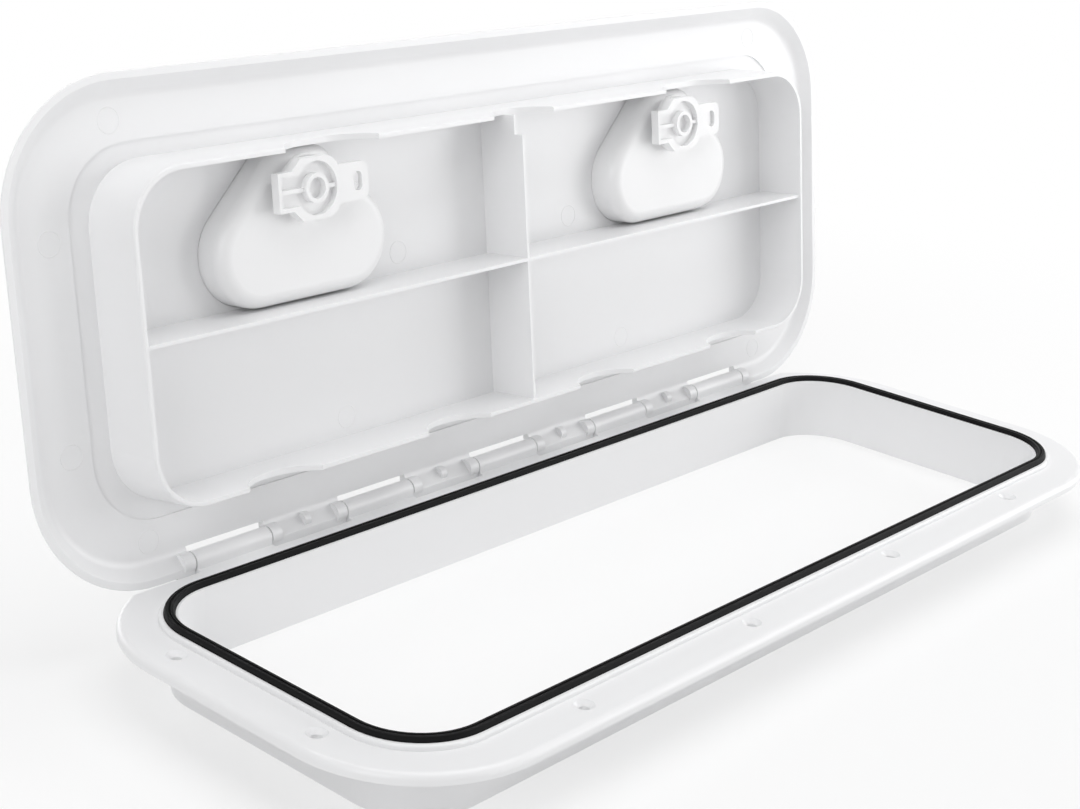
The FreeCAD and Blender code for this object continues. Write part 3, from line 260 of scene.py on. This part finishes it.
# %% Black rubber with ridges along the ring
RIDGE_PITCH = SEAL_WIDTH / 3
RIDGE_HEIGHT = 0.0006
DUST_CELLS = 60.0
RUBBER_CLEAN, RUBBER_DUSTY = (0.003, 0.003, 0.0033), (0.008, 0.008, 0.0085)
RUBBER_ROUGH, DUST_ROUGH = 0.50, 0.14
RUBBER_SPECULAR = 0.12

rubber, rubber_shader, place = new_material("black_rubber")
ridge_turn = ring_distance(place, seal_half, SEAL_CORNER) * (2 * math.pi / RIDGE_PITCH)
ridge = ridge_turn.math("COSINE") * 0.5 + 0.5
dust = noise(place, DUST_CELLS, detail=5.0)
put(place.tree, rubber_shader.inputs["Base Color"], dust.mix(RUBBER_CLEAN, RUBBER_DUSTY))
put(place.tree, rubber_shader.inputs["Roughness"], RUBBER_ROUGH + DUST_ROUGH * dust)
put(place.tree, rubber_shader.inputs["Normal"], bump(ridge, 1.0, RIDGE_HEIGHT))
rubber_shader.inputs["Specular IOR Level"].default_value = RUBBER_SPECULAR
print("ridge pitch in mm:", round(RIDGE_PITCH * 1000, 2))

# %% [markdown]
# ## The hinge pins
# Each hinge has a stainless pin, hidden in the lid's ears apart from the hair-wide gap beside each
# knuckle. A ground steel with streaks along the pin is enough there.

# %% Steel for the pins
STREAK_CELLS = (20.0, 1800.0, 1800.0)
STEEL_DARK, STEEL_LIGHT = (0.55, 0.56, 0.57), (0.68, 0.68, 0.69)
STEEL_ROUGH, STREAK_ROUGH = 0.22, 0.2

steel, steel_shader, place = new_material("pin_steel")
streak = stretched_noise(place, STREAK_CELLS, detail=3.0)
put(place.tree, steel_shader.inputs["Base Color"], streak.mix(STEEL_DARK, STEEL_LIGHT))
put(place.tree, steel_shader.inputs["Roughness"], STEEL_ROUGH + STREAK_ROUGH * streak)
steel_shader.inputs["Metallic"].default_value = 1.0
print("steel:", steel.name)

# %% [markdown]
# ## Finishes on the CAD model
# The record names a material slot for each piece of the hatch. Looking the finish up by that slot keeps
# the pieces and their materials together, so a piece that changes its slot there gets its new finish
# here.

# %% Give each CAD node its finish by its slot
finish = {"white_plastic": white, "latch_plastic": latch_white, "black_rubber": rubber, "pin_steel": steel}
slots = {row["node"]: row["material_slot"] for row in frame["record"]["subparts"]}
for name, node in frame["nodes"].items():
    node.data.materials.clear()
    node.data.materials.append(finish[slots[name]])
print("finished nodes:", len(slots))

# %% [markdown]
# ## The ejector marks
# Pins push the soft lid out of its mould, and each leaves a faint round line on the inner side, where the
# plastic crept into the gap around the pin. The marks are the same on the left and the right. Each is a
# ring with a flat oval section, half sunk in the surface. All rings are worked out at once for the closed
# lid, where the surfaces are level, and then turned up with the lid about its hinge.

# %% Where the pins stood, on the closed lid
LAND_LEVEL, PANEL_LEVEL = 0.0105, 0.0115  # inner surfaces of the closed lid, above the deck
MARK_RADIUS = 0.0058
LINE_HALF_WIDTH, LINE_HEIGHT = 0.0003, 0.00012
land_marks = [(0.2765, -0.0485), (0.2765, 0.0485), (0.2395, -0.0985), (0.2395, 0.0985)]
panel_marks = [(0.110, 0.0666), (0.067, -0.012)]
one_side = [(x, y, LAND_LEVEL) for x, y in land_marks] + [(x, y, PANEL_LEVEL) for x, y in panel_marks]
mark_centres = np.array(one_side + [(-x, y, z) for x, y, z in one_side])
print("ejector marks:", len(mark_centres))

# %% Rings around those centres
ROUND_STEPS, SECTION_STEPS = 56, 8


def rings(centres, radius, half_width, height):
    """Torus of oval section on each centre: ((R + a cos v) cos u, (R + a cos v) sin u, b sin v)."""
    u = np.linspace(0, 2 * np.pi, ROUND_STEPS, endpoint=False)[:, None]
    v = np.linspace(0, 2 * np.pi, SECTION_STEPS, endpoint=False)[None, :]
    reach_out = radius + half_width * np.cos(v)
    ring = np.stack([reach_out * np.cos(u), reach_out * np.sin(u), height * np.sin(v) + 0 * u], axis=-1)
    return centres[:, None, None, :] + ring[None]


def torus_faces(count):
    """Four corners for each grid cell: next step round and next along the section, both closed loops."""
    ids = np.arange(count * ROUND_STEPS * SECTION_STEPS).reshape(count, ROUND_STEPS, SECTION_STEPS)
    along, up = np.roll(ids, -1, axis=1), np.roll(ids, -1, axis=2)
    corner = np.roll(along, -1, axis=2)
    return np.stack([ids, along, corner, up], axis=-1).reshape(-1, 4)


print("faces on each ring:", ROUND_STEPS * SECTION_STEPS)

# %% Turn the rings up with the lid and make the piece
hinge = next(joint for joint in frame["joints"] if joint["name"] == "lid_hinge")
open_turn = np.array(Matrix.Rotation(math.radians(-hinge["range_deg"][0]), 3, Vector(hinge["axis"])))
pivot = np.array(hinge["pos_m"])
flat = rings(mark_centres, MARK_RADIUS, LINE_HALF_WIDTH, LINE_HEIGHT).reshape(-1, 3)
stood = (flat - pivot) @ open_turn.T + pivot
mark_mesh = bpy.data.meshes.new("ejector_marks")
mark_mesh.from_pydata(stood, [], torus_faces(len(mark_centres)))
mark_mesh.shade_smooth()
mark_mesh.materials.append(white)
marks = bpy.data.objects.new("ejector_marks", mark_mesh)
bpy.context.scene.collection.objects.link(marks)
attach(marks, "lid")
print("ring faces:", len(mark_mesh.polygons))

# %% [markdown]
# ## The floor
# The photograph shows the hatch cut out on white. A pale floor under the coaming keeps a soft shadow, and
# fades to white away from the hatch, where the white of the world takes over. The fade mixes in a plain
# glow for the rays that see the floor, so the light that the floor throws back on the hatch stays as it
# is.

# %% Floor that fades to white
FLOOR_REACH = 12.0
FLOOR_COLOUR, FLOOR_ROUGH = (0.92, 0.92, 0.92), 0.9
FADE_STARTS, FADE_ENDS = 0.25, 0.9  # metres from the middle of the hatch
GLOW_NEAR, GLOW_FAR = 0.55, 1.0


def seen_rays(tree):
    """1 for rays from the camera, from a mirror or through glass, and 0 for those that only carry light."""
    rays = tree.nodes.new("ShaderNodeLightPath")
    kinds = ("Is Camera Ray", "Is Glossy Ray", "Is Transmission Ray")
    camera_ray, glossy_ray, glass_ray = [Sock(tree, rays.outputs[kind]) for kind in kinds]
    return camera_ray.math("MAXIMUM", glossy_ray).math("MAXIMUM", glass_ray)


floor_mesh = bpy.data.meshes.new("floor")
corner_signs = [(-1, -1), (1, -1), (1, 1), (-1, 1)]
floor_corners = [(x * FLOOR_REACH, y * FLOOR_REACH, cad_low.z) for x, y in corner_signs]
floor_mesh.from_pydata(floor_corners, [], [(0, 1, 2, 3)])
floor = bpy.data.objects.new("floor", floor_mesh)
bpy.context.scene.collection.objects.link(floor)
print("floor level in mm:", round(cad_low.z * 1000, 1))

# %% Finish of the floor
floor_material, floor_shader, place = new_material("pale_floor")
tree = place.tree
put(tree, floor_shader.inputs["Base Color"], FLOOR_COLOUR)
put(tree, floor_shader.inputs["Roughness"], FLOOR_ROUGH)
far = Sock(tree, place.node("ShaderNodeVectorMath", {"operation": "LENGTH"}, _0=place).outputs["Value"])
fade = Sock(tree, far.node("ShaderNodeMapRange", {"interpolation_type": "SMOOTHSTEP"}, Value=far,
                           From_Min=FADE_STARTS, From_Max=FADE_ENDS,
                           To_Min=GLOW_NEAR, To_Max=GLOW_FAR).outputs[0])
glow = tree.nodes.new("ShaderNodeEmission")
blend = tree.nodes.new("ShaderNodeMixShader")
put(tree, blend.inputs[0], fade * seen_rays(tree))
tree.links.new(floor_shader.outputs[0], blend.inputs[1])
tree.links.new(glow.outputs[0], blend.inputs[2])
tree.links.new(blend.outputs[0], tree.nodes["Material Output"].inputs[0])
floor_mesh.materials.append(floor_material)
print("floor finish:", floor_material.name)

# %% [markdown]
# ## The world
# Around the hatch everything is white to the eye and in reflections. As a light the same white would wash
# out the ribs, so the rays that only carry light meet a dim grey instead.

# %% White to look at, dim as a light
AMBIENT = (0.25, 0.25, 0.253)
PAPER_WHITE = (1.0, 1.0, 1.0)

world = bpy.data.worlds.new("studio")
bpy.context.scene.world = world
world.use_nodes = True
tree = world.node_tree
dim_light = tree.nodes["Background"]
put(tree, dim_light.inputs["Color"], AMBIENT)
white_back = tree.nodes.new("ShaderNodeBackground")
put(tree, white_back.inputs["Color"], PAPER_WHITE)
choose = tree.nodes.new("ShaderNodeMixShader")
put(tree, choose.inputs[0], seen_rays(tree))
tree.links.new(dim_light.outputs[0], choose.inputs[1])
tree.links.new(white_back.outputs[0], choose.inputs[2])
tree.links.new(choose.outputs[0], tree.nodes["World Output"].inputs[0])
print("world:", world.name)

# %% [markdown]
# ## The lamps
# The shading in the photograph is soft and almost even, so wide lamps stand all round: the strongest
# overhead, two at the sides, a low one in front that opens up the undersides of the ribs, and one behind
# for the lid's outer side. Their powers were found by comparing renders with the photograph.

# %% Wide lamps all round
LAMP_AIM = Vector((0, 0.05, 0.1))


def soft_lamp(name, at, width, power):
    """Square area lamp of so many watts, turned to the hatch."""
    data = bpy.data.lights.new(name, "AREA")
    data.size = width
    data.energy = power
    lamp = bpy.data.objects.new(name, data)
    lamp.location = at
    lamp.rotation_euler = (LAMP_AIM - Vector(at)).to_track_quat("-Z", "Y").to_euler()
    bpy.context.scene.collection.objects.link(lamp)
    return lamp


lamps = [
    soft_lamp("overhead", at=(0.2, 0.0, 1.9), width=1.8, power=21.0),
    soft_lamp("right_side", at=(1.4, -0.9, 0.3), width=1.4, power=16.0),
    soft_lamp("left_side", at=(-1.7, -0.5, 0.9), width=1.2, power=11.5),
    soft_lamp("low_front", at=(0.6, -1.7, 0.25), width=1.6, power=4.0),
    soft_lamp("behind", at=(0.3, 1.9, 0.4), width=1.4, power=15.0),
]
bpy.context.scene.view_settings.view_transform = "Standard"
print("lamps:", [lamp.name for lamp in lamps])
